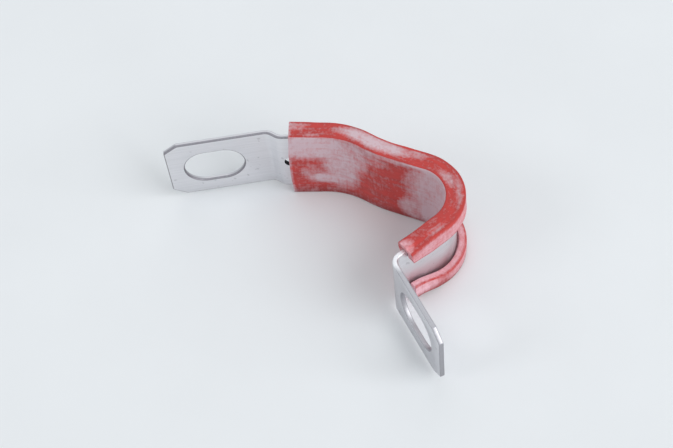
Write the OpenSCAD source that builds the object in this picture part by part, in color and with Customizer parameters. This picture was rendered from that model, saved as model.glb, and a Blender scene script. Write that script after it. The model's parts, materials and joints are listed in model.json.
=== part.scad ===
// P clip: one bent metal strap with a slotted lug at each end, and a soft channel pushed onto its loop.
// The clip is open, lying on its edge. The strap's width stands along +Z and the lower rim of the
// cushion is at Z = 0. The origin is the axis of the loop, which is the axis of what the clip holds,
// and lug_1 runs along X with its seat facing +Y.

/* [Strap] */
// Width of the strap
strap_w = 12.7; // [12:0.1:14]
// Thickness of the strap
strap_t = 0.8; // [0.6:0.1:1]
// Diameter of the small hole under the cushion's first end
pin_hole_d = 2; // [1:0.1:2.4]

/* [Lugs] */
// Length of lug 1, from its tip to the joggle
lug_1_len = 16.6; // [15:0.1:20]
// Length of lug 2, from its tip to the bend
lug_2_len = 14.6; // [14:0.1:20]
// Length of the slot in each lug, end to end
slot_len = 10; // [8:0.1:11]
// Width of the slot in each lug
slot_w = 7.2; // [6:0.1:7.6]
// Distance from a lug's tip to its slot
slot_edge = 2.8; // [2.2:0.1:3.2]
// Corner cut at a lug's tip, along the lug
corner_along = 2.2; // [1:0.1:2.6]
// Corner cut at a lug's tip, across the lug
corner_across = 1.5; // [1:0.1:2]

/* [Joggle] */
// Turn into the joggle, in degrees
joggle_in = 42; // [36:1:50]
// Turn out of the joggle, in degrees
joggle_out = 32; // [28:1:42]
// Radius of the joggle's two bends
joggle_r = 2; // [1.5:0.1:2.5]
// Flat between the joggle's two bends
joggle_flat = 0.8; // [0.4:0.1:1.2]

/* [Loop] */
// Straight stretch after the joggle
lead_len = 6.4; // [5:0.1:7]
// Turn of the shoulder, in degrees
shoulder_turn = 33.5; // [30:0.5:38]
// Radius of the shoulder
shoulder_r = 13; // [12:0.5:16]
// Turn of the hollow between the shoulder and the loop, in degrees
hollow_turn = 12; // [10:0.5:18]
// Radius of the hollow
hollow_r = 21; // [18:0.5:24]
// Straight stretch before the loop
run_len = 6.3; // [5:0.1:7]
// Turn of the round part of the loop, in degrees
loop_turn = 117; // [113:1:121]
// Radius of the cushion's face in the round part of the loop
grip_r = 5.3; // [5:0.1:6]
// Straight stretch after the loop
tail_len = 8.2; // [7:0.1:9]
// Turn out to lug 2, in degrees
lug_2_turn = 76.5; // [70:0.5:88]
// Radius of that bend
lug_2_r = 1.6; // [1.4:0.1:2]

/* [Cushion] */
// Width of the cushion, rim to rim
cushion_w = 14.9; // [14.7:0.1:16]
// Thickness of the pad inside the strap
pad_t = 0.85; // [0.7:0.05:1.4]
// Thickness of the lips outside the strap
lip_t = 1.6; // [1.4:0.1:2]
// Height of each lip from its rim
lip_h = 3.4; // [3:0.1:4]
// Gap between the strap and a lip's free edge
lip_gap = 0.15; // [0.1:0.05:0.5]
// Radius of the rounded rims
rim_r = 0.4; // [0.2:0.1:0.6]
// Strap left bare between the joggle and the cushion
bare_start = 1.2; // [0.8:0.1:1.6]
// Strap left bare between the cushion and the bend of lug 2
bare_end = 1.4; // [0.8:0.1:1.8]

/* [Hidden] */
$fn = 96;
eps = 0.5;
// A straight runs this far into the curves beside it, and is this much slimmer than they are all
// round, so that the two overlap and no face of one lies on a face of the other
lap = 0.04;
inset = 0.001;

// A leg is [length, turn, radius]: a straight has a length, a curve has a turn and a radius,
// and a positive turn is to the left.
function straight(length) = [length, 0, 0];
function curve(turn, radius) = [0, turn, radius];

// Straight between the shoulder and the hollow
link_len = 0.3;
// How far a lip lies against the strap before it stands off
lip_root = 0.6;
loop_r = grip_r + pad_t + strap_t / 2;
strap_z = (cushion_w - strap_w) / 2;
mid_z = cushion_w / 2;

joggle = [curve(-joggle_in, joggle_r), straight(joggle_flat), curve(joggle_out, joggle_r)];
shoulder = [
    curve(-shoulder_turn, shoulder_r),
    straight(link_len),
    curve(hollow_turn, hollow_r),
    straight(run_len)
];
loop = curve(-loop_turn, loop_r);
strap_route = concat(
    joggle,
    [straight(lead_len)],
    shoulder,
    [loop, straight(tail_len), curve(lug_2_turn, lug_2_r)]
);
cushion_route = concat(
    [straight(lead_len - bare_start)],
    shoulder,
    [loop, straight(tail_len - bare_end)]
);

// Place and heading after a leg, from the place and heading before it
function after(p, leg) =
    leg[1] == 0
    ? [p[0] + leg[0] * cos(p[2]), p[1] + leg[0] * sin(p[2]), p[2]]
    : let (r = sign(leg[1]) * leg[2], h = p[2] + leg[1])
      [p[0] + r * (sin(h) - sin(p[2])), p[1] + r * (cos(p[2]) - cos(h)), h];

// Place and heading at the end of the first n legs
function pose(route, n, p = [0, 0, 0], i = 0) =
    i == n ? p : pose(route, n, after(p, route[i]), i + 1);

cushion_start = after(pose(strap_route, len(joggle)), straight(bare_start));
loop_start = pose(cushion_route, 1 + len(shoulder), cushion_start);
loop_axis = [
    loop_start[0] + loop_r * sin(loop_start[2]),
    loop_start[1] - loop_r * cos(loop_start[2])
];

// Moves its children from the end of lug 1 to the model's frame
module from_lug() {
    translate([-loop_axis[0], -loop_axis[1], 0]) children();
}

module at(p) {
    translate([p[0], p[1], 0]) rotate(p[2]) children();
}

// Sweeps a section along one leg. The section's X is to the left of the path and its Y is up, and
// it draws itself slimmer by $inset all round.
module leg(leg) {
    $inset = leg[1] == 0 ? inset : 0;
    if (leg[1] == 0)
        rotate([90, 0, 90]) translate([0, 0, -lap]) linear_extrude(leg[0] + 2 * lap) children();
    else if (leg[1] > 0)
        translate([0, leg[2], 0]) rotate(-90) rotate_extrude(angle = leg[1])
            translate([leg[2], 0]) mirror([1, 0]) children();
    else
        translate([0, -leg[2], 0]) rotate(90 + leg[1]) rotate_extrude(angle = -leg[1])
            translate([leg[2], 0]) children();
}

// Sweeps a section along a whole route, leg after leg
module sweep(route, start) {
    for (i = [0:len(route) - 1])
        at(pose(route, i, start)) leg(route[i]) children();
}

// Oblong opening with full round ends, centred, long way along X
module slot_shape() {
    square([slot_len - slot_w, slot_w], center = true);
    for (side = [-1, 1])
        translate([side * (slot_len - slot_w) / 2, 0]) circle(d = slot_w);
}

// Flat lug that runs from the bend out to its tip along +X, with its tip's corners cut off
module lug(length) {
    half = strap_w / 2 - inset;
    thickness = strap_t - 2 * inset;
    translate([0, thickness / 2, mid_z]) rotate([90, 0, 0]) linear_extrude(thickness)
        difference() {
            polygon([
                [-lap, -half],
                [length - corner_along, -half],
                [length, corner_across - half],
                [length, half - corner_across],
                [length - corner_along, half],
                [-lap, half]
            ]);
            translate([length - slot_edge - slot_len / 2, 0]) slot_shape();
        }
}

// Rectangle from one corner to the other
module box(x0, y0, x1, y1) {
    translate([x0, y0]) square([x1 - x0, y1 - y0]);
}

module strap_section() {
    half = strap_t / 2 - $inset;
    box(-half, strap_z + $inset, half, strap_z + strap_w - $inset);
}

// Small round hole across the strap, under the end of the cushion
module pin_hole() {
    at(cushion_start) translate([pin_hole_d * 0.08, 0, mid_z])
        rotate([90, 0, 0]) cylinder(h = strap_t + 2 * eps, d = pin_hole_d, center = true);
}

module band() {
    color([0.74, 0.75, 0.77]) from_lug() difference() {
        union() {
            mirror([1, 0, 0]) lug(lug_1_len);
            sweep(strap_route, [0, 0, 0]) strap_section();
            at(pose(strap_route, len(strap_route))) lug(lug_2_len);
        }
        pin_hole();
    }
}

// Rectangle with every corner rounded, from one corner to the other
module rounded_box(x0, y0, x1, y1, r) {
    box(x0 + r, y0, x1 - r, y1);
    box(x0, y0 + r, x1, y1 - r);
    for (x = [x0 + r, x1 - r], y = [y0 + r, y1 - r])
        translate([x, y]) circle(r);
}

// Channel that wraps the strap: a pad inside, a rim over each edge and a lip outside, which stands
// a little off the strap beyond its root
module cushion_section() {
    strap_x = strap_t / 2 + $inset;
    root_z = strap_z + lip_root;
    lip_edge = lip_h - $inset;
    difference() {
        rounded_box(
            -strap_t / 2 - pad_t + $inset, $inset,
            strap_t / 2 + lip_t - $inset, cushion_w - $inset,
            rim_r
        );
        box(-strap_x, strap_z - $inset, strap_x, strap_z + strap_w + $inset);
        box(0, root_z - $inset, strap_x + lip_gap, cushion_w - root_z + $inset);
        box(0, lip_edge, strap_t + lip_t, cushion_w - lip_edge);
    }
}

module cushion() {
    color([0.76, 0.25, 0.23]) from_lug()
        sweep(cushion_route, cushion_start) cushion_section();
}

band();
cushion();
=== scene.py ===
"""Cushioned P clip: a bent strap of satin stainless steel in a channel of red silicone.

Run as a script, it builds both pieces where the frame has them, on a pale floor in soft light.
"""
import json
from collections import namedtuple
from math import cos, hypot, pi, radians, sin

import bpy
from bpy.props import FloatProperty, FloatVectorProperty, PointerProperty
from bpy.types import Operator, Panel, PropertyGroup
from mathutils import Matrix, Vector


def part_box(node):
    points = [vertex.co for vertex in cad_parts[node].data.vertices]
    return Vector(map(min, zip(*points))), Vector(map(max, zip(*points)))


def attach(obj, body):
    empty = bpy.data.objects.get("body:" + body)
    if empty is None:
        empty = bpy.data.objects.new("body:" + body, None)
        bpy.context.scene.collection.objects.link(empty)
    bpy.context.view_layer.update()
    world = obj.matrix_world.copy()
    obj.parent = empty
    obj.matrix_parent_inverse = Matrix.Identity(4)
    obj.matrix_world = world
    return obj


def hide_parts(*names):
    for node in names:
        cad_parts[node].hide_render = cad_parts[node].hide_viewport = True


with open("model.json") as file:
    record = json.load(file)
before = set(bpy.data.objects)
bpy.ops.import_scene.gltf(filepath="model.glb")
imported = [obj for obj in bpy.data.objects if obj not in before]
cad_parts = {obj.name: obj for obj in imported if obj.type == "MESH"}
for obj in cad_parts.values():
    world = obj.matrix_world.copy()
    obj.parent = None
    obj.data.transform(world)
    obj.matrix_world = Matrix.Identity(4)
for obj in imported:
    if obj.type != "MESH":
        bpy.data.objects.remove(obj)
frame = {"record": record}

bl_info = {
    "name": "Cushioned P Clip",
    "version": (1, 0, 0),
    "blender": (4, 5, 0),
    "location": "View3D > Sidebar > P Clip",
    "description": "Models a cushioned P clip: a bent steel strap in a channel of red silicone",
    "category": "Object",
}

MM = 0.001
BAND_LOW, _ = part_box("band")
CUSHION_LOW, CUSHION_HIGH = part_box("cushion")
# How high the middle of the strap's width stands
STRAP_MIDDLE = (CUSHION_LOW.z + CUSHION_HIGH.z) / 2
MOUNTS = {mount["name"]: mount for mount in frame["record"]["mounts"]}
UP = Vector((0, 0, 1))
# Places closer than CLOSE count as one, and FAR is longer than anything here
CLOSE = 0.001 * MM
FAR = 1e9
# Steel mirrors less than silver does where it is seen at a shallow angle
STEEL_AT_EDGES = (0.68, 0.69, 0.7, 1.0)


# ---------------------------------------------------------------- sizes and colours

def linear(hex_value):
    """A colour written as sRGB hex, as the linear numbers that Blender works in."""
    values = [int(hex_value[i:i + 2], 16) / 255 for i in (1, 3, 5)]
    return tuple(v / 12.92 if v <= 0.04045 else ((v + 0.055) / 1.055) ** 2.4 for v in values)


def distance(name, millimetres, description):
    return FloatProperty(
        name=name, description=description, default=millimetres * MM, min=0,
        subtype="DISTANCE", unit="LENGTH", precision=5)


def angle(name, degrees, description):
    return FloatProperty(
        name=name, description=description, default=radians(degrees),
        subtype="ANGLE", unit="ROTATION")


def colour(name, hex_value, description):
    return FloatVectorProperty(
        name=name, description=description, default=linear(hex_value), size=3, min=0, max=1,
        subtype="COLOR")


def number(name, value, description, top=1.0):
    return FloatProperty(name=name, description=description, default=value, min=0, max=top)


class PathSizes(PropertyGroup):
    """The line that the strap is bent to, from lug 1's root to lug 2's root."""
    joggle_in: angle("Joggle in", 42, "Turn into the joggle")
    joggle_out: angle("Joggle out", 32, "Turn out of the joggle")
    joggle_radius: distance("Joggle radius", 2, "Radius of the joggle's two bends")
    joggle_flat: distance("Joggle flat", 0.8, "Flat between the joggle's bends")
    lead: distance("Lead", 6.4, "Straight after the joggle")
    shoulder_turn: angle("Shoulder turn", 33.5, "Turn of the shoulder")
    shoulder_radius: distance("Shoulder radius", 13, "Radius of the shoulder")
    link: distance("Link", 0.3, "Straight between the shoulder and the hollow")
    hollow_turn: angle("Hollow turn", 12, "Turn of the hollow")
    hollow_radius: distance("Hollow radius", 21, "Radius of the hollow")
    run: distance("Run", 6.3, "Straight before the loop")
    loop_turn: angle("Loop turn", 117, "Turn of the round part of the loop")
    loop_radius: distance("Loop radius", 6.55, "Radius of the strap's middle in the loop")
    tail: distance("Tail", 8.2, "Straight after the loop")
    bend_turn: angle("Bend turn", 76.5, "Turn out to lug 2")
    bend_radius: distance("Bend radius", 1.6, "Radius of the bend to lug 2")


class StrapSizes(PropertyGroup):
    """The steel strip."""
    width: distance("Width", 12.7, "Width of the strip")
    thickness: distance("Thickness", 0.8, "Thickness of the strip")
    edge_round: distance("Edge rounding", 0.18, "Rounding that tumbling leaves on the cut edges")
    lug_1: distance("Lug 1", 16.6, "Length of lug 1")
    lug_2: distance("Lug 2", 14.6, "Length of lug 2")
    slot_length: distance("Slot length", 10, "Length of each slot")
    slot_width: distance("Slot width", 7.2, "Width of each slot")
    slot_edge: distance("Slot edge", 2.8, "From a lug's tip to its slot")
    corner_along: distance("Corner along", 2.2, "Corner cut, along the lug")
    corner_across: distance("Corner across", 1.5, "Corner cut, across the lug")
    pin_hole: distance("Pin hole", 2, "Diameter of the small hole under the cushion's end")
    steel: colour("Steel", "#E4E3E6", "Colour of the steel")
    sheared: colour("Sheared edge", "#C6C5C9", "Colour of the side of a cut edge that was sheared")
    torn: colour("Torn edge", "#8E8B91", "Colour of the side of a cut edge that tore")
    # painted highlight: a light colour on the edge of the bend before lug 2
    bright: colour("Painted bend highlight", "#E6E5E8", "Colour painted on the bend's edge as a highlight")
    # painted shade: a near-black colour on the small hole's wall
    painted_shade_in_hole: colour("Painted shade in the pin hole", "#29282B", "Near-black colour painted on the small hole's wall as shade")
    roughness: number("Roughness", 0.4, "Roughness of the satin face")


class CushionSizes(PropertyGroup):
    """The silicone channel."""
    width: distance("Width", 14.9, "Width from rim to rim")
    pad: distance("Pad", 0.85, "Thickness inside the strap")
    lip: distance("Lip", 1.6, "Thickness of the lips outside the strap")
    upper_lip: distance("Upper lip", 3.3, "Height of the upper lip from its rim")
    lower_lip: distance("Lower lip", 2.7, "Height of the lower lip from its rim")
    upper_gap: distance("Upper gap", 0.13, "Gap between strap and upper lip, beyond the play")
    lower_gap: distance("Lower gap", 0.3, "Gap between strap and lower lip, beyond the play")
    lip_root: distance("Lip root", 0.6, "How far a lip lies on the strap before it stands off")
    rim_round: distance("Rim rounding", 0.28, "Rounding of the rims")
    edge_round: distance("Edge rounding", 0.22, "Rounding of the lips' free edges")
    play: distance("Play", 0.02, "Play between the channel and the strap")
    bare_start: distance("Bare start", 1.2, "Strap left bare before the cushion")
    bare_end: distance("Bare end", 1.4, "Strap left bare after the cushion")
    waviness: distance("Waviness", 0.2, "Height of the waves that handling leaves in the channel")
    lean: distance("Lean", 0.4, "How far the foot of the first end's cut leans out")
    drawn_rim: distance("Drawn rim", 0.35, "How far the rim is drawn out at the last end")
    lower_lift: distance("Lower lift", 2.5, "How far the lower lip is pulled up at the last end")
    upper_lift: distance("Upper lift", 0.5, "How far the upper lip is pulled up at the last end")
    silicone: colour("Silicone", "#C2322B", "Colour of the clean silicone")
    # the darker red serves the streaks, and also the shade painted along the foot
    silicone_dark: colour("Silicone, dark", "#8E2725", "Colour of the silicone's darker streaks, and of the shade painted at its foot")
    dust: colour("Dust", "#D3BFC8", "Colour of the dusty film")
    haze: colour("Haze", "#EBBCC6", "Colour of the dust that is rubbed into the outer faces")


class StageSizes(PropertyGroup):
    """The floor, the light and the camera."""
    floor: colour("Floor", "#E8EDF1", "Colour of the floor")
    floor_size: distance("Floor size", 3000, "Side of the floor")
    dome: number("Dome", 0.55, "Strength of the light from all round", 10)
    key: number("Key", 54, "Power of the soft box at the right, in watts", 1000)
    fill: number("Fill", 8.5, "Power of the soft box at the left, in watts", 1000)
    back: number("Back", 8, "Power of the soft box behind, in watts", 1000)


# ---------------------------------------------------------------- the strap's path

Leg = namedtuple("Leg", "length turn radius")
Pen = namedtuple("Pen", "place heading")


def straight(length):
    return Leg(length, 0, 0)


def curve(turn, radius):
    """A curve to the left, or to the right where the turn is negative."""
    return Leg(abs(turn) * radius, turn, radius)


def forward(heading):
    return Vector((cos(heading), sin(heading), 0))


def leftward(heading):
    return Vector((-sin(heading), cos(heading), 0))


def centre_of(pen, leg):
    side = 1 if leg.turn > 0 else -1
    return pen.place + leftward(pen.heading) * side * leg.radius


def after(pen, leg):
    """Where the pen is, and which way it points, once it has drawn the leg."""
    if not leg.turn:
        return Pen(pen.place + forward(pen.heading) * leg.length, pen.heading)
    centre = centre_of(pen, leg)
    turned = Matrix.Rotation(leg.turn, 3, "Z") @ (pen.place - centre)
    return Pen(centre + turned, pen.heading + leg.turn)


def end_of(pen, legs):
    for leg in legs:
        pen = after(pen, leg)
    return pen


def length_of(legs):
    return sum(leg.length for leg in legs)


def path_legs(path):
    """The legs of the joggle, and the legs between the lead and the tail."""
    joggle = [
        curve(-path.joggle_in, path.joggle_radius),
        straight(path.joggle_flat),
        curve(path.joggle_out, path.joggle_radius),
    ]
    loop = [
        curve(-path.shoulder_turn, path.shoulder_radius),
        straight(path.link),
        curve(path.hollow_turn, path.hollow_radius),
        straight(path.run),
        curve(-path.loop_turn, path.loop_radius),
    ]
    return joggle, loop


def strap_start(strap):
    """The middle of lug 1's tip, on the floor's level: lug 1 runs along X from there."""
    seat = MOUNTS["lug_1_seat"]["pos_m"]
    return Pen(Vector((BAND_LOW.x, seat[1] - strap.thickness / 2, 0)), 0.0)


def along_path(point, start, legs):
    """How far along the legs a point lies, and how far to the left of them."""
    point = Vector((point.x, point.y, 0))
    best = None
    pen = start
    done = 0
    for index, leg in enumerate(legs):
        if leg.turn:
            side = 1 if leg.turn > 0 else -1
            spoke = point - centre_of(pen, leg)
            first = pen.place - centre_of(pen, leg)
            along = -side * first.to_2d().angle_signed(spoke.to_2d(), 0) * leg.radius
            left = side * (leg.radius - spoke.length)
        else:
            offset = point - pen.place
            along = offset.dot(forward(pen.heading))
            left = offset.dot(leftward(pen.heading))
        # the first leg is taken to run on before its start, and the last one past its end
        lowest = -FAR if index == 0 else 0
        highest = FAR if index == len(legs) - 1 else leg.length
        miss = max(lowest - along, along - highest, 0)
        score = (miss > CLOSE, abs(left) + miss)
        if best is None or score < best[0]:
            best = (score, done + along, left)
        done += leg.length
        pen = after(pen, leg)
    return best[1], best[2]


# ---------------------------------------------------------------- work on a mesh

def only(piece):
    """Selects this piece alone."""
    bpy.ops.object.select_all(action="DESELECT")
    piece.select_set(True)
    bpy.context.view_layer.objects.active = piece


def named(name):
    """Names the object that was just added, and its mesh."""
    piece = bpy.context.object
    piece.name = name
    piece.data.name = name
    return piece


def apply_place(piece):
    only(piece)
    bpy.ops.object.transform_apply(location=True, rotation=True, scale=True)


def edit(piece, mode="FACE"):
    only(piece)
    bpy.ops.object.mode_set(mode="EDIT")
    bpy.ops.mesh.select_mode(type=mode)


def object_mode():
    bpy.ops.object.mode_set(mode="OBJECT")


def select(piece, kind, test):
    """In edit mode, selects the vertices, edges or faces that the test picks."""
    bpy.ops.mesh.select_all(action="DESELECT")
    object_mode()
    mesh = piece.data
    parts = {"VERT": mesh.vertices, "EDGE": mesh.edges, "FACE": mesh.polygons}[kind]
    count = 0
    for part in parts:
        part.select = bool(test(part))
        count += part.select
    if not count:
        raise RuntimeError(f"{piece.name} has nothing to select")
    bpy.ops.object.mode_set(mode="EDIT")
    bpy.ops.mesh.select_mode(type=kind)


def modify(piece, kind, **settings):
    """Adds a modifier with these settings and applies it."""
    modifier = piece.modifiers.new(kind.title(), kind)
    for name, value in settings.items():
        setattr(modifier, name, value)
    only(piece)
    bpy.ops.object.modifier_apply(modifier=modifier.name)


def pull(piece, test, value, reach, falloff="SMOOTH"):
    """In edit mode, moves the vertices that the test picks, and drags those within reach along."""
    select(piece, "VERT", test)
    bpy.ops.transform.translate(
        value=value, use_proportional_edit=True, proportional_edit_falloff=falloff,
        proportional_size=reach, use_proportional_connected=True)


def face_outwards(piece):
    """Merges points that lie together, then turns every face outwards."""
    edit(piece, "VERT")
    bpy.ops.mesh.select_all(action="SELECT")
    bpy.ops.mesh.remove_doubles(threshold=0.002 * MM)
    bpy.ops.mesh.normals_make_consistent(inside=False)
    object_mode()


def carry(start, legs, step, straight_step=FAR):
    """Carries the selected end face along the legs: straights are extruded, curves are spun.

    A curve is made in slices about a step long, six or more of them. A straight is one slice,
    unless it is given a step of its own.
    """
    pen = start
    for leg in legs:
        if leg.turn:
            steps = max(6, round(leg.length / step))
            bpy.ops.mesh.spin(
                steps=steps, angle=-leg.turn, center=centre_of(pen, leg), axis=UP)
        else:
            steps = max(1, round(leg.length / straight_step))
            stride = forward(pen.heading) * leg.length / steps
            for _ in range(steps):
                bpy.ops.mesh.extrude_region_move(TRANSFORM_OT_translate={"value": stride})
        pen = after(pen, leg)
    return pen


def section_plane(name, left, right, bottom, top):
    """A sheet across the path where it starts along X, from right to left and bottom to top."""
    bpy.ops.object.select_all(action="DESELECT")
    bpy.ops.mesh.primitive_plane_add(size=1, location=(0, 0, 0), rotation=(pi / 2, 0, pi / 2))
    piece = named(name)
    apply_place(piece)
    edit(piece)
    bpy.ops.mesh.select_all(action="SELECT")
    bpy.ops.transform.resize(value=(1, left - right, top - bottom))
    bpy.ops.transform.translate(value=(0, (left + right) / 2, (top + bottom) / 2))
    object_mode()
    return piece


def stand_at(piece, pen):
    """Turns a flat section from the path's start along X to the pen's own place and heading."""
    piece.rotation_euler = (0, 0, pen.heading)
    piece.location = pen.place
    apply_place(piece)


def keep_flat_places(piece, start, legs):
    """Stores where each point lay before the strip was bent: along it, across it and up it."""
    attribute = piece.data.attributes.new("flat_place", "FLOAT_VECTOR", "POINT")
    for vertex in piece.data.vertices:
        along, left = along_path(vertex.co, start, legs)
        attribute.data[vertex.index].vector = (along, left, vertex.co.z)


def flat_places(piece):
    """Each point's place before bending, as a list that outlives edit mode."""
    return [value.vector.copy() for value in piece.data.attributes["flat_place"].data]


# ---------------------------------------------------------------- node helper

def node(tree, kind, inputs=None, **settings):
    """Adds a node. An input's value is a number, a colour, or another node's output to link."""
    made = tree.nodes.new(kind)
    for name, value in settings.items():
        setattr(made, name, value)
    for name, value in (inputs or {}).items():
        socket = made.inputs[name]
        if isinstance(value, bpy.types.NodeSocket):
            tree.links.new(value, socket)
        else:
            socket.default_value = value
    return made


def empty_material(name):
    material = bpy.data.materials.new(name)
    material.use_nodes = True
    material.node_tree.nodes.clear()
    return material, material.node_tree


def rgba(values):
    return (*values, 1.0)


def clamp(value, lowest=0, highest=1):
    return min(highest, max(lowest, value))


def per_feature(along, across, up):
    """The scale that makes a pattern's features this many millimetres along, across and up."""
    return (1 / (along * MM), 1 / (across * MM), 1 / (up * MM))


# ---------------------------------------------------------------- materials

def sheared_stainless(name, sheared_colour, torn_colour, painted_highlight_colour, second_lug):
    """The strip's blanked edges, where the punch sheared the steel and then tore it.

    The torn side is dull and dark, the sheared side is nearly as light as the rolled faces, and
    fine lines run through the strip's thickness. Lug 2's end was sheared with a worn edge, and is
    an even grey. On the outside of the bend before it, a highlight is painted on the edge.
    """
    material, tree = empty_material(name)
    flat = node(tree, "ShaderNodeAttribute", attribute_name="flat_place").outputs["Vector"]
    # shear lines some 0.05 mm apart, drawn 0.2 mm apart so that they show
    spread = node(tree, "ShaderNodeMapping", {
        "Vector": flat, "Scale": per_feature(0.2, 3, 0.2)}).outputs["Vector"]
    lines = node(tree, "ShaderNodeTexNoise", {
        "Vector": spread, "Scale": 1.0, "Detail": 3.0, "Roughness": 0.55}).outputs["Fac"]
    place = node(tree, "ShaderNodeSeparateXYZ", {"Vector": flat}).outputs
    torn = node(tree, "ShaderNodeMapRange", {
        "Value": place["Y"], "From Min": -0.12 * MM, "From Max": 0.06 * MM,
        "To Min": 1.0, "To Max": 0.0}).outputs["Result"]
    at_lug_2 = node(tree, "ShaderNodeMapRange", {
        "Value": place["X"], "From Min": second_lug, "From Max": second_lug + 1.5 * MM,
        "To Min": 0.0, "To Max": 1.0}).outputs["Result"]
    torn = node(tree, "ShaderNodeMix", {
        "Factor": at_lug_2, "A": torn, "B": 0.4}, data_type="FLOAT").outputs["Result"]
    streaks = node(tree, "ShaderNodeMapRange", {
        "Value": lines, "From Min": 0.3, "From Max": 0.6,
        "To Min": 0.7, "To Max": 1.0}).outputs["Result"]
    share_torn = node(tree, "ShaderNodeMath", {
        0: torn, 1: streaks}, operation="MULTIPLY").outputs[0]
    tint = node(tree, "ShaderNodeMix", {
        "Factor": share_torn, "A": rgba(sheared_colour), "B": rgba(torn_colour)},
        data_type="RGBA").outputs["Result"]
    # painted highlight: the bend's edge before lug 2 takes a light colour where the light catches
    # it
    painted_highlight_at_bend = node(tree, "ShaderNodeMapRange", {
        "Value": place["X"], "From Min": second_lug - 4 * MM, "From Max": second_lug - 3 * MM,
        "To Min": 0.0, "To Max": 1.0}).outputs["Result"]
    painted_highlight_at_bend = node(tree, "ShaderNodeMath", {
        0: painted_highlight_at_bend, 1: at_lug_2}, operation="SUBTRACT").outputs[0]
    tint = node(tree, "ShaderNodeMix", {
        "Factor": painted_highlight_at_bend, "A": tint, "B": rgba(painted_highlight_colour)}, data_type="RGBA").outputs["Result"]
    rough = node(tree, "ShaderNodeMapRange", {
        "Value": torn, "To Min": 0.42, "To Max": 0.55}).outputs["Result"]
    bump = node(tree, "ShaderNodeBump", {
        "Height": lines, "Strength": 0.3, "Distance": 0.02 * MM}).outputs["Normal"]
    shader = node(tree, "ShaderNodeBsdfPrincipled", {
        "Base Color": tint, "Metallic": 1.0, "Roughness": rough,
        "Normal": bump, "Specular Tint": STEEL_AT_EDGES})
    node(tree, "ShaderNodeOutputMaterial", {"Surface": shader.outputs["BSDF"]})
    return material


def satin_stainless(strap):
    """Stainless strip as it leaves the rolls, blanked, tumbled and bent.

    Rolling leaves faint lines along the strip, which soften what it mirrors across them. Tumbling
    leaves small cloudy patches that are a little more matt, and a few nicks that look like specks.
    """
    material, tree = empty_material("stainless steel strip, cold rolled and tumbled")
    flat = node(tree, "ShaderNodeAttribute", attribute_name="flat_place").outputs["Vector"]
    # rolling lines are some 0.05 mm apart, drawn 0.25 mm apart so that they show, and 12 mm long
    spread = node(tree, "ShaderNodeMapping", {
        "Vector": flat, "Scale": per_feature(12, 2, 0.25)}).outputs["Vector"]
    lines = node(tree, "ShaderNodeTexNoise", {
        "Vector": spread, "Scale": 1.0, "Detail": 4.0, "Roughness": 0.6}).outputs["Fac"]
    # cloudy patches 3 mm across, and a dark speck wherever a pattern 0.9 mm across peaks
    clouds = node(tree, "ShaderNodeTexNoise", {
        "Vector": flat, "Scale": 1 / (3 * MM), "Detail": 3.0, "Roughness": 0.55}).outputs["Fac"]
    spots = node(tree, "ShaderNodeTexNoise", {
        "Vector": flat, "Scale": 1 / (0.9 * MM), "Detail": 1.0, "Roughness": 0.55}).outputs["Fac"]
    rough = node(tree, "ShaderNodeMapRange", {
        "Value": clouds, "From Min": 0.3, "From Max": 0.7,
        "To Min": strap.roughness - 0.04, "To Max": strap.roughness + 0.08}).outputs["Result"]
    streaks = node(tree, "ShaderNodeMapRange", {
        "Value": lines, "From Min": 0.3, "From Max": 0.7,
        "To Min": 0.94, "To Max": 1.03}).outputs["Result"]
    specks = node(tree, "ShaderNodeMapRange", {
        "Value": spots, "From Min": 0.7, "From Max": 0.76,
        "To Min": 1.0, "To Max": 0.8}).outputs["Result"]
    shade = node(tree, "ShaderNodeMath", {0: streaks, 1: specks}, operation="MULTIPLY").outputs[0]
    tint = node(tree, "ShaderNodeVectorMath", {0: strap.steel[:], "Scale": shade},
                operation="SCALE").outputs["Vector"]
    bump = node(tree, "ShaderNodeBump", {
        "Height": lines, "Strength": 0.12, "Distance": 0.01 * MM}).outputs["Normal"]
    shader = node(tree, "ShaderNodeBsdfPrincipled", {
        "Base Color": tint, "Metallic": 1.0, "Roughness": rough, "Normal": bump,
        "Specular Tint": STEEL_AT_EDGES})
    node(tree, "ShaderNodeOutputMaterial", {"Surface": shader.outputs["BSDF"]})
    return material


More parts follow.
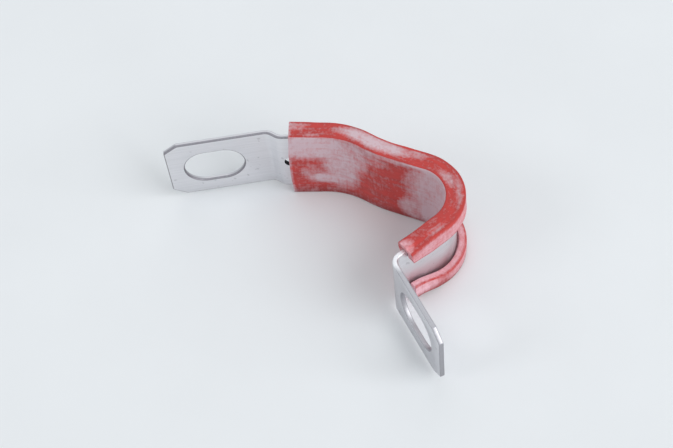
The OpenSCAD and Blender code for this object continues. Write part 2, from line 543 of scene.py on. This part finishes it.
def dusted_silicone(cushion):
    """Red silicone rubber, extruded as a channel and dusted so that it doesn't stick to itself.

    The rubber itself is matt and even. Along its foot, where it stands on the bench, it is painted
    darker, as shade. The die draws fine lines along it. The dust lies in a mauve film that is thick
    in patches and broken up by scratches and finger marks, and outside it is rubbed into the rubber
    as a pink haze.
    """
    material, tree = empty_material("silicone rubber, extruded and dusted")
    flat = node(tree, "ShaderNodeAttribute", attribute_name="flat_place").outputs["Vector"]
    laid = node(tree, "ShaderNodeAttribute", attribute_name="dust").outputs["Vector"]
    laid = node(tree, "ShaderNodeSeparateXYZ", {"Vector": laid}).outputs
    marks = {}
    for name, size, detail, roughness in (
        # die lines some 0.1 mm apart, drawn 0.5 mm apart so that they show, and 7 mm long
        ("die lines", (7, 0.5, 0.5), 3.0, 0.55),
        # scratches up the channel, 0.4 mm apart and 3 mm long, and wiped marks 2.5 mm across
        ("scratches", (0.4, 0.4, 3), 3.0, 0.55),
        ("wipes", (2.5, 2.5, 2.5), 5.0, 0.62),
        # grains of dust, clumped 0.5 mm across
        ("grains", (0.5, 0.5, 0.5), 2.0, 0.7),
    ):
        spread = node(tree, "ShaderNodeMapping", {
            "Vector": flat, "Scale": per_feature(*size)}).outputs["Vector"]
        marks[name] = node(tree, "ShaderNodeTexNoise", {
            "Vector": spread, "Scale": 1.0, "Detail": detail,
            "Roughness": roughness}).outputs["Fac"]

    drawn = node(tree, "ShaderNodeMath", {
        0: marks["die lines"], 1: marks["wipes"]}, operation="ADD").outputs[0]
    streaks = node(tree, "ShaderNodeMapRange", {
        "Value": drawn, "From Min": 0.8, "From Max": 1.25,
        "To Min": 0.0, "To Max": 0.6}).outputs["Result"]
    height = node(tree, "ShaderNodeSeparateXYZ", {"Vector": flat}).outputs["Z"]
    # painted shade: the red is darkened towards the foot, where the channel stands on the bench
    painted_foot_shade = node(tree, "ShaderNodeMapRange", {
        "Value": height, "From Min": 0.6 * MM, "From Max": 2.6 * MM,
        "To Min": 0.9, "To Max": 0.0}).outputs["Result"]
    # the darker red takes both the die streaks and the painted shade at the foot
    darker = node(tree, "ShaderNodeMath", {
        0: streaks, 1: painted_foot_shade}, operation="MAXIMUM").outputs[0]
    red = node(tree, "ShaderNodeMix", {
        "Factor": darker, "A": rgba(cushion.silicone), "B": rgba(cushion.silicone_dark)},
        data_type="RGBA").outputs["Result"]

    lines = node(tree, "ShaderNodeMath", {
        0: marks["die lines"], 1: marks["scratches"]}, operation="ADD").outputs[0]
    spots = node(tree, "ShaderNodeMath", {
        0: marks["wipes"], 1: marks["grains"]}, operation="ADD").outputs[0]
    breaks = node(tree, "ShaderNodeMath", {
        0: lines, 1: 0.7, 2: spots}, operation="MULTIPLY_ADD").outputs[0]
    breaks = node(tree, "ShaderNodeMapRange", {
        "Value": breaks, "From Min": 1.3, "From Max": 2.1,
        "To Min": -0.34, "To Max": 0.34}).outputs["Result"]
    film = node(tree, "ShaderNodeMath", {0: laid["X"], 1: breaks}, operation="ADD").outputs[0]
    cover = node(tree, "ShaderNodeMapRange", {
        "Value": film, "From Min": 0.0, "From Max": 1.05,
        "To Min": 0.04, "To Max": 0.93}).outputs["Result"]
    dust = node(tree, "ShaderNodeMix", {
        "Factor": laid["Y"], "A": rgba(cushion.dust), "B": rgba(cushion.haze)},
        data_type="RGBA").outputs["Result"]
    skin = node(tree, "ShaderNodeMix", {
        "Factor": cover, "A": red, "B": dust}, data_type="RGBA").outputs["Result"]

    relief = node(tree, "ShaderNodeMath", {
        0: marks["die lines"], 1: marks["grains"]}, operation="ADD").outputs[0]
    bump = node(tree, "ShaderNodeBump", {
        "Height": relief, "Strength": 0.2, "Distance": 0.04 * MM}).outputs["Normal"]
    rough = node(tree, "ShaderNodeMapRange", {
        "Value": cover, "To Min": 0.45, "To Max": 0.9}).outputs["Result"]
    shader = node(tree, "ShaderNodeBsdfPrincipled", {
        "Base Color": skin, "Roughness": rough, "Normal": bump,
        "IOR": 1.42, "Specular IOR Level": 0.4})
    node(tree, "ShaderNodeOutputMaterial", {"Surface": shader.outputs["BSDF"]})
    return material


def floor_paper(stage):
    """Smooth matt paper, which gives the eye a plain pale ground with soft shadows."""
    material, tree = empty_material("matt paper, pale")
    place = node(tree, "ShaderNodeTexCoord").outputs["Object"]
    # the sheet's faint cloudiness, 25 mm across
    cloud = node(tree, "ShaderNodeTexNoise", {
        "Vector": place, "Scale": 1 / (25 * MM), "Detail": 3.0}).outputs["Fac"]
    shade = node(tree, "ShaderNodeMapRange", {
        "Value": cloud, "From Min": 0.3, "From Max": 0.7,
        "To Min": 0.985, "To Max": 1.01}).outputs["Result"]
    tint = node(tree, "ShaderNodeVectorMath", {0: stage.floor[:], "Scale": shade},
                operation="SCALE").outputs["Vector"]
    shader = node(tree, "ShaderNodeBsdfPrincipled", {
        "Base Color": tint, "Roughness": 0.9, "Specular IOR Level": 0.2})
    node(tree, "ShaderNodeOutputMaterial", {"Surface": shader.outputs["BSDF"]})
    return material


def dress(piece, material, node_name):
    """Gives the piece its material, and its place on the frame instead of the CAD node."""
    piece.data.materials.clear()
    piece.data.materials.append(material)
    only(piece)
    bpy.ops.object.shade_smooth_by_angle(angle=radians(32))
    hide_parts(node_name)
    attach(piece, "root")


# ---------------------------------------------------------------- operators

# A punch or a drill is longer than the strip is thick
PUNCH_LENGTH = 4 * MM


class PCLIP_OT_strap(Operator):
    """Bends the steel strap: two slotted lugs, a joggle and the loop between them"""
    bl_idname = "pclip.strap"
    bl_label = "Bend Strap"

    def cut_corner(self, piece, tip, heading, strap, top):
        """Shears one corner off a lug's tip: the tip's upper corner, or its lower one."""
        up = 1 if top else -1
        outward = forward(heading)
        edge = UP * (STRAP_MIDDLE + up * strap.width / 2)
        first = tip - outward * strap.corner_along + edge
        slope = outward * strap.corner_across + UP * up * strap.corner_along
        edit(piece, "VERT")
        bpy.ops.mesh.select_all(action="SELECT")
        bpy.ops.mesh.bisect(
            plane_co=first, plane_no=slope.normalized(), use_fill=True, clear_outer=True)
        object_mode()

    def punch(self, piece, cutter):
        modify(piece, "BOOLEAN", operation="DIFFERENCE", object=cutter, solver="EXACT")
        bpy.data.objects.remove(cutter)

    def slot_punch(self, tip, heading, strap):
        """A punch for a lug's slot: a block whose four upright edges are rounded off fully."""
        inwards = forward(heading) * -(strap.slot_edge + strap.slot_length / 2)
        bpy.ops.object.select_all(action="DESELECT")
        bpy.ops.mesh.primitive_cube_add(size=1, location=(0, 0, 0))
        punch = named("slot_punch")
        edit(punch)
        bpy.ops.mesh.select_all(action="SELECT")
        bpy.ops.transform.resize(value=(strap.slot_length, PUNCH_LENGTH, strap.slot_width))
        select(punch, "EDGE", lambda edge: self.runs_through(punch, edge))
        # a hair less than half the width, so that the two roundings of an end don't quite meet
        bpy.ops.mesh.bevel(
            offset=strap.slot_width / 2 - 0.0002 * MM, segments=20, affect="EDGES",
            clamp_overlap=False)
        object_mode()
        punch.rotation_euler = (0, 0, heading)
        punch.location = tip + inwards + UP * STRAP_MIDDLE
        apply_place(punch)
        return punch

    def runs_through(self, punch, edge):
        """Whether an edge of the punch runs through the strip."""
        a, b = (punch.data.vertices[i].co for i in edge.vertices)
        return abs((b - a).y) > PUNCH_LENGTH / 2

    def execute(self, context):
        path = context.scene.pclip_path
        strap = context.scene.pclip_strap
        start = strap_start(strap)
        joggle, loop = path_legs(path)
        up_to_lead = [straight(strap.lug_1), *joggle]
        legs = [
            *up_to_lead, straight(path.lead), *loop, straight(path.tail),
            curve(path.bend_turn, path.bend_radius), straight(strap.lug_2),
        ]
        half = strap.thickness / 2
        piece = section_plane(
            "strap_bent", half, -half,
            STRAP_MIDDLE - strap.width / 2, STRAP_MIDDLE + strap.width / 2)
        stand_at(piece, start)
        edit(piece)
        bpy.ops.mesh.select_all(action="SELECT")
        end = carry(start, legs, 0.3 * MM)
        object_mode()
        face_outwards(piece)
        for top in (True, False):
            self.cut_corner(piece, start.place, start.heading + pi, strap, top)
            self.cut_corner(piece, end.place, end.heading, strap, top)
        self.punch(piece, self.slot_punch(start.place, start.heading + pi, strap))
        self.punch(piece, self.slot_punch(end.place, end.heading, strap))

        face_outwards(piece)
        modify(
            piece, "BEVEL", width=strap.edge_round, segments=3, limit_method="ANGLE",
            angle_limit=radians(40), use_clamp_overlap=True)

        # the small hole is half under the cushion's first end, which leans out over it
        hole_from_joggle = context.scene.pclip_cushion.bare_start - strap.pin_hole * 0.18
        spot = after(end_of(start, up_to_lead), straight(hole_from_joggle))
        bpy.ops.object.select_all(action="DESELECT")
        bpy.ops.mesh.primitive_cylinder_add(
            vertices=40, radius=strap.pin_hole / 2, depth=PUNCH_LENGTH,
            location=spot.place + UP * STRAP_MIDDLE, rotation=(pi / 2, 0, spot.heading))
        drill = named("pin_drill")
        apply_place(drill)
        self.punch(piece, drill)
        face_outwards(piece)
        keep_flat_places(piece, start, legs)
        dress(piece, satin_stainless(strap), "band")
        self.dull_cut_edges(
            piece, strap, length_of(up_to_lead) + hole_from_joggle, length_of(legs[:-1]))
        return {"FINISHED"}

    def dull_cut_edges(self, piece, strap, hole_along, second_lug):
        """Gives the faces between the strip's two rolled sides the sheared finish.

        The hole and lug 2 are given by how far along the strip they are. The hole's wall gets a
        near-black colour, painted as the shade inside the hole.
        """
        mesh = piece.data
        mesh.materials.append(sheared_stainless(
            "stainless steel, sheared edge", strap.sheared, strap.torn, strap.bright, second_lug))
        # the second material paints the small hole's wall near black, as shade
        mesh.materials.append(sheared_stainless(
            "stainless steel, small punched hole, painted shade", strap.painted_shade_in_hole, strap.painted_shade_in_hole, strap.painted_shade_in_hole,
            second_lug))
        places = flat_places(piece)
        rolled = strap.thickness / 2 - 0.01 * MM
        # a little past the hole's wall, to take in all of it
        hole_reach = strap.pin_hole * 0.62
        for face in mesh.polygons:
            middle = sum((places[i] for i in face.vertices), Vector()) / len(face.vertices)
            if abs(middle.y) < rolled:
                # the hole's wall is painted near black, as the shade inside the hole
                painted_shade_in_hole = hypot(middle.x - hole_along, middle.z - STRAP_MIDDLE) < hole_reach
                face.material_index = 2 if painted_shade_in_hole else 1


DustPatch = namedtuple("DustPatch", "face along second length height amount")

# Where the dust lies thick, in millimetres: the face, the patch's middle along the channel and
# across that face (up it, or for the rim and the lips' edges, out from the strap's middle), the
# patch's length and height, and last how thick the dust is, where 1 is a full cover
DUST_PATCHES = [
    DustPatch("inside", 4.0, 12.3, 14.5, 5.8, 1.0),
    DustPatch("inside", 8.8, 8.6, 6.6, 12.8, 0.88),
    DustPatch("inside", 6.4, 4.2, 6.6, 2.6, 1.0),
    DustPatch("inside", 3.6, 5.2, 3.6, 5.0, 0.36),
    DustPatch("inside", 11.4, 11.0, 4.8, 8.0, 0.7),
    DustPatch("inside", 14.5, 12.6, 5.0, 2.6, 0.42),
    DustPatch("inside", 17.0, 14.4, 9.0, 0.9, 0.6),
    DustPatch("inside", 27.0, 14.5, 15.0, 0.9, 1.15),
    DustPatch("inside", 12.5, 0.4, 6.0, 1.6, 0.45),
    DustPatch("inside", 21.4, 3.2, 4.5, 5.6, 0.7),
    DustPatch("inside", 25.0, 3.2, 5.0, 6.0, 1.2),
    DustPatch("inside", 27.4, 7.4, 12.0, 20.0, 0.95),
    DustPatch("inside", 38.5, 7.4, 13.0, 14.0, 0.6),
    DustPatch("rim", 1.2, 1.0, 3.6, 1.5, 0.45),
    DustPatch("rim", 3.8, -0.9, 3.0, 0.5, 0.6),
    DustPatch("rim", 14.3, 0.6, 12.2, 2.2, 0.98),
    DustPatch("rim", 21.6, 1.0, 3.2, 1.2, 0.5),
    DustPatch("rim", 28.2, -0.1, 3.8, 1.3, 0.5),
    DustPatch("rim", 31.0, 1.1, 5.0, 1.4, 0.32),
    DustPatch("rim", 38.6, 0.9, 3.4, 1.0, 0.42),
    DustPatch("rim", 43.9, 0.3, 2.4, 2.8, 0.6),
    DustPatch("lip edge", 37.0, 1.0, 20.0, 3.0, 0.78),
    DustPatch("lip edge", 12.0, 1.0, 22.0, 3.0, 0.5),
    DustPatch("outside", 36.5, 12.4, 18.0, 6.0, 0.62),
    DustPatch("outside", 42.5, 1.9, 7.0, 2.8, 0.9),
    DustPatch("outside", 33.0, 1.7, 9.0, 3.0, 0.7),
    DustPatch("outside", 10.0, 12.6, 18.0, 4.4, 0.6),
    DustPatch("outside", 17.0, 1.8, 20.0, 3.4, 0.66),
]


class PCLIP_OT_cushion(Operator):
    """Pushes the silicone channel onto the strap, from the joggle to the bend of lug 2"""
    bl_idname = "pclip.cushion"
    bl_label = "Push On Cushion"

    def channel_section(self, strap, cushion):
        """The channel's section as one face, with the room for the strap and its mouth cut out."""
        inner = -strap.thickness / 2 - cushion.pad
        outer = strap.thickness / 2 + cushion.lip
        low = CUSHION_LOW.z
        high = low + cushion.width
        piece = section_plane("cushion_channel", outer, inner, low, high)
        strap_low = low + (cushion.width - strap.width) / 2 - cushion.play
        strap_high = high - (strap_low - low)
        strap_side = strap.thickness / 2 + cushion.play
        mouth = (low + cushion.lower_lip, high - cushion.upper_lip)
        root = (strap_low + cushion.lip_root, strap_high - cushion.lip_root)
        cuts = [(Vector((0, y, 0)), Vector((0, 1, 0)))
                for y in (-strap_side, strap_side, strap_side + cushion.upper_gap,
                          strap_side + cushion.lower_gap)]
        cuts += [(Vector((0, 0, z)), UP)
                 for z in (strap_low, root[0], mouth[0], mouth[1], root[1], strap_high)]
        for place, normal in cuts:
            edit(piece)
            bpy.ops.mesh.select_all(action="SELECT")
            bpy.ops.mesh.bisect(plane_co=place, plane_no=normal)
            object_mode()

        def open_space(face):
            y, z = face.center.y, face.center.z
            in_strap = abs(y) < strap_side and strap_low < z < strap_high
            gap = cushion.lower_gap if z < mouth[0] else cushion.upper_gap
            in_gap = 0 < y < strap_side + gap and root[0] < z < root[1]
            in_mouth = y > 0 and mouth[0] < z < mouth[1]
            return in_strap or in_gap or in_mouth

        edit(piece)
        select(piece, "FACE", open_space)
        bpy.ops.mesh.delete(type="FACE")
        bpy.ops.mesh.select_all(action="SELECT")
        bpy.ops.mesh.dissolve_limited(angle_limit=radians(1))

        def is_one_of(value, levels):
            return min(abs(value - level) for level in levels) < CLOSE

        def at_rim(vertex):
            return is_one_of(vertex.co.y, (inner, outer)) and is_one_of(vertex.co.z, (low, high))

        def at_lip_edge(vertex):
            return vertex.co.y > strap_side + CLOSE and is_one_of(vertex.co.z, mouth)

        select(piece, "VERT", at_rim)
        bpy.ops.mesh.bevel(offset=cushion.rim_round, segments=5, affect="VERTICES")
        select(piece, "VERT", at_lip_edge)
        bpy.ops.mesh.bevel(offset=cushion.edge_round, segments=3, affect="VERTICES")

        # long sides are divided, so that they can bow and carry the dust's outline
        mesh = piece.data

        def is_side(shortest, longest):
            def test(edge):
                a, b = (mesh.vertices[i].co for i in edge.vertices)
                return shortest < (b - a).length <= longest
            return test

        for pieces_cut, shortest, longest in (
            (27, 9 * MM, FAR), (8, 1.8 * MM, 9 * MM), (3, 0.6 * MM, 1.8 * MM),
        ):
            select(piece, "EDGE", is_side(shortest, longest))
            bpy.ops.mesh.subdivide(number_cuts=pieces_cut)
        object_mode()
        return piece

    def execute(self, context):
        path = context.scene.pclip_path
        strap = context.scene.pclip_strap
        cushion = context.scene.pclip_cushion
        joggle, loop = path_legs(path)
        joggle_end = end_of(strap_start(strap), [straight(strap.lug_1), *joggle])
        start = after(joggle_end, straight(cushion.bare_start))
        legs = [
            straight(path.lead - cushion.bare_start), *loop,
            straight(path.tail - cushion.bare_end),
        ]
        piece = self.channel_section(strap, cushion)
        stand_at(piece, start)
        edit(piece)
        bpy.ops.mesh.select_all(action="SELECT")
        end = carry(start, legs, 0.5 * MM, 0.5 * MM)
        # the two ends are cut into triangles while they are still flat
        select(piece, "FACE", lambda face: len(face.vertices) > 4)
        bpy.ops.mesh.quads_convert_to_tris(ngon_method="BEAUTY")
        object_mode()
        face_outwards(piece)
        keep_flat_places(piece, start, legs)
        self.work_loose(piece, start.heading, end.heading, length_of(legs), cushion)
        self.make_wavy(piece, strap, cushion)
        self.dust(piece, strap, cushion)
        dress(piece, dusted_silicone(cushion), "cushion")
        return {"FINISHED"}

    def work_loose(self, piece, heading_in, heading_out, length, cushion):
        """Leans the first end's cut, and works the last end loose.

        There the rim is drawn out over the strap and the lips' free edges are pulled up.
        """
        places = flat_places(piece)
        high = CUSHION_HIGH.z

        def at_cut(first, picks):
            """A test for one cut end's points, which picks them by how far left and up they are."""
            def test(vertex):
                along, left, up = places[vertex.index]
                return (along if first else length - along) < 0.1 * MM and picks(left, up)
            return test

        def top_corner(left, up):
            return left > 1.6 * MM and up > high - 0.5 * MM

        def lower_lip(left, up):
            return left > 1 * MM and cushion.lower_lip - 0.4 * MM < up < 7 * MM

        def upper_lip(left, up):
            return left > 1 * MM and 8 * MM < up < high - cushion.upper_lip + 0.4 * MM

        edit(piece, "VERT")
        out = forward(heading_in) * -1
        foot = at_cut(True, lambda left, up: up < 0.6 * MM)
        pull(piece, foot, out * cushion.lean, high, "LINEAR")
        waist = at_cut(True, lambda left, up: 6 * MM < up < 9 * MM)
        pull(piece, waist, out * 0.25 * MM, 6 * MM)
        pull(piece, at_cut(True, top_corner), leftward(heading_in) * 0.25 * MM, 6 * MM)
        rim = at_cut(False, lambda left, up: up > high - 1 * MM)
        pull(piece, rim, forward(heading_out) * cushion.drawn_rim, 2.5 * MM)

        # the pad, and the rim under the strap, stay where they are
        def held(vertex):
            left, up = places[vertex.index][1:]
            return left < 0.45 * MM or (left < 0.6 * MM and not 1.3 * MM < up < high - 1.3 * MM)

        select(piece, "VERT", held)
        bpy.ops.mesh.hide(unselected=False)
        pull(piece, at_cut(False, lower_lip), UP * cushion.lower_lift, 7 * MM)
        pull(piece, at_cut(False, upper_lip), UP * cushion.upper_lift, 4 * MM)
        pull(piece, at_cut(False, top_corner), UP * -0.35 * MM, 4 * MM)
        bpy.ops.mesh.reveal(select=False)
        object_mode()

    def make_wavy(self, piece, strap, cushion):
        """Gives the outer faces the small waves of a soft part that has been handled."""
        low = CUSHION_LOW.z
        half = strap.thickness / 2
        places = flat_places(piece)

        def is_outer(vertex):
            """Whether it is on a face away from the strap, and clear of the floor."""
            left, up = places[vertex.index][1:]
            on_wall = left < -half - 0.3 * MM or left > half + 0.6 * MM
            on_rim = up > low + cushion.width - 0.1 * MM
            return (on_wall or on_rim) and vertex.co.z > low + 0.5 * MM

        outer = piece.vertex_groups.new(name="outer faces")
        outer.add([v.index for v in piece.data.vertices if is_outer(v)], 1.0, "REPLACE")
        waves = bpy.data.textures.new("handling waves", "CLOUDS")
        waves.noise_scale = 5 * MM
        modify(piece, "DISPLACE", texture=waves, texture_coords="LOCAL", mid_level=0.5,
               strength=cushion.waviness, vertex_group=outer.name)
        piece.vertex_groups.clear()
        bpy.data.textures.remove(waves)

    def laid_on(self, face, along, second):
        """How thick the patches lay the dust at a place on a face.

        A patch is whole to 0.74 of the way out to its outline, and gone from 1.32 of it.
        """
        thickest = 0
        for patch in DUST_PATCHES:
            if patch.face == face:
                reach = hypot((along - patch.along) / (patch.length / 2),
                              (second - patch.second) / (patch.height / 2))
                thickest = max(thickest, patch.amount * clamp(2.25 - 1.7 * reach))
        return thickest

    def dust(self, piece, strap, cushion):
        """Lays the dust on as a soft brush would, patch by patch, with all lengths in millimetres.

        It is rubbed off the corners and the foot of the inside, and clings to the first end's cut.
        Outside, and over the last end, it is a haze that is rubbed into the rubber.
        """
        mesh = piece.data
        attribute = mesh.attributes.new("dust", "FLOAT_VECTOR", "POINT")
        places = flat_places(piece)
        skin = 0.1
        foot = 2
        rubbed_up_to = 21
        hazy_from = 41.5
        high = cushion.width / MM
        inner = -(strap.thickness / 2 + cushion.pad) / MM
        outer = (strap.thickness / 2 + cushion.lip) / MM
        corners = [(side, up) for side in (inner, outer) for up in (0, high)]
        corners += [(outer, cushion.lower_lip / MM), (outer, high - cushion.upper_lip / MM)]
        for vertex in mesh.vertices:
            along, left, up = places[vertex.index] / MM
            if up > high - skin or up < skin:
                face, second = "rim", left
            elif left < 0:
                face, second = "inside", up
            elif left < outer - skin:
                face, second = "lip edge", left
            else:
                face, second = "outside", up
            amount = self.laid_on(face, along, second)
            if face == "inside":
                # the foot is rubbed nearly clean before the loop, and hardly at all in it
                amount *= clamp(up / foot, 0.25 if along < rubbed_up_to else 0.8)
            else:
                corner = min(hypot(left - side, up - level) for side, level in corners)
                # a rim's corners are cleaner than the rubber beside them
                cleaner = 0.25 if face == "rim" else 0
                amount = (amount + cleaner) * clamp((corner - 0.1) / 0.35, 0.15) - cleaner
            if along < skin:
                amount = max(amount, 0.6)
            haze = 1 if face in ("outside", "lip edge") else clamp(along - hazy_from)
            attribute.data[vertex.index].vector = (amount, haze, 0)


# How far the lamps stand from the clip, in metres
LAMP_DISTANCE = 3


class PCLIP_OT_stage(Operator):
    """Lays out the floor, the soft light and the camera"""
    bl_idname = "pclip.stage"
    bl_label = "Set Stage"

    def soft_box(self, name, bearing, height, size, power):
        """A square lamp at this bearing and angle above the floor, aimed at the clip."""
        light = bpy.data.lights.new(name, "AREA")
        light.shape = "SQUARE"
        light.size = size
        light.energy = power
        lamp = bpy.data.objects.new(name, light)
        bpy.context.scene.collection.objects.link(lamp)
        height = radians(height)
        way = forward(radians(bearing)) * cos(height) + UP * sin(height)
        lamp.location = way * LAMP_DISTANCE
        lamp.rotation_euler = way.to_track_quat("Z", "Y").to_euler()

    def execute(self, context):
        stage = context.scene.pclip_stage
        bpy.ops.object.select_all(action="DESELECT")
        bpy.ops.mesh.primitive_plane_add(size=1, location=(0, 0, 0))
        floor = named("floor")
        edit(floor)
        bpy.ops.mesh.select_all(action="SELECT")
        bpy.ops.transform.resize(value=(stage.floor_size, stage.floor_size, 1))
        bpy.ops.mesh.subdivide(number_cuts=3)
        object_mode()
        floor.data.materials.append(floor_paper(stage))

        self.soft_box("key", 325, 38, 2.3, stage.key)
        self.soft_box("fill", 193, 36, 0.9, stage.fill)
        self.soft_box("back", 90, 50, 2.0, stage.back)

        world = bpy.data.worlds.new("pale room")
        context.scene.world = world
        world.use_nodes = True
        tree = world.node_tree
        tree.nodes.clear()
        # the camera and the metal see the floor's colour, and all else gets a plain white light
        rays = node(tree, "ShaderNodeLightPath").outputs
        seen = node(tree, "ShaderNodeMath", {0: rays["Is Camera Ray"], 1: rays["Is Glossy Ray"]},
                    operation="MAXIMUM").outputs[0]
        seen = node(tree, "ShaderNodeMath", {0: seen, 1: rays["Is Transmission Ray"]},
                    operation="MAXIMUM").outputs[0]
        light = node(tree, "ShaderNodeBackground", {
            "Color": (1, 1, 1, 1), "Strength": stage.dome}).outputs[0]
        backdrop = node(tree, "ShaderNodeBackground", {
            "Color": rgba(stage.floor), "Strength": 1.0}).outputs[0]
        both = node(tree, "ShaderNodeMixShader", {0: seen, 1: light, 2: backdrop}).outputs[0]
        node(tree, "ShaderNodeOutputWorld", {"Surface": both})

        # a short telephoto lens, 0.24 m from the clip, which looks down at 55 degrees
        lens = bpy.data.cameras.new("camera")
        lens.lens = 77.58
        lens.sensor_width = 36
        lens.clip_start = 0.01
        lens.clip_end = 20
        camera = bpy.data.objects.new("camera", lens)
        context.scene.collection.objects.link(camera)
        camera.location = (-14.91 * MM, -131.13 * MM, 197.48 * MM)
        turn = (Matrix.Rotation(radians(-1.24), 3, "Z") @ Matrix.Rotation(radians(90 - 55), 3, "X")
                @ Matrix.Rotation(radians(-7.73), 3, "Z"))
        camera.rotation_euler = turn.to_euler()
        context.scene.camera = camera
        context.scene.view_settings.view_transform = "Standard"
        return {"FINISHED"}


class PCLIP_PT_panel(Panel):
    """Lists the clip's pieces, with their sizes and colours"""
    bl_idname = "PCLIP_PT_panel"
    bl_label = "Cushioned P Clip"
    bl_space_type = "VIEW_3D"
    bl_region_type = "UI"
    bl_category = "P Clip"

    def draw(self, context):
        layout = self.layout
        for group, operator in (
            ("pclip_path", None), ("pclip_strap", "pclip.strap"),
            ("pclip_cushion", "pclip.cushion"), ("pclip_stage", "pclip.stage"),
        ):
            box = layout.box()
            sizes = getattr(context.scene, group)
            for name in sizes.__annotations__:
                box.prop(sizes, name)
            if operator:
                box.operator(operator)


CLASSES = (
    PathSizes, StrapSizes, CushionSizes, StageSizes,
    PCLIP_OT_strap, PCLIP_OT_cushion, PCLIP_OT_stage, PCLIP_PT_panel,
)


def register():
    for cls in CLASSES:
        bpy.utils.register_class(cls)
    bpy.types.Scene.pclip_path = PointerProperty(type=PathSizes)
    bpy.types.Scene.pclip_strap = PointerProperty(type=StrapSizes)
    bpy.types.Scene.pclip_cushion = PointerProperty(type=CushionSizes)
    bpy.types.Scene.pclip_stage = PointerProperty(type=StageSizes)


def unregister():
    for name in ("pclip_stage", "pclip_cushion", "pclip_strap", "pclip_path"):
        delattr(bpy.types.Scene, name)
    for cls in reversed(CLASSES):
        bpy.utils.unregister_class(cls)


def main():
    """Builds everything."""
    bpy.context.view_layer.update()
    register()
    bpy.ops.pclip.strap()
    bpy.ops.pclip.cushion()
    bpy.ops.pclip.stage()


if __name__ == "__main__":
    main()
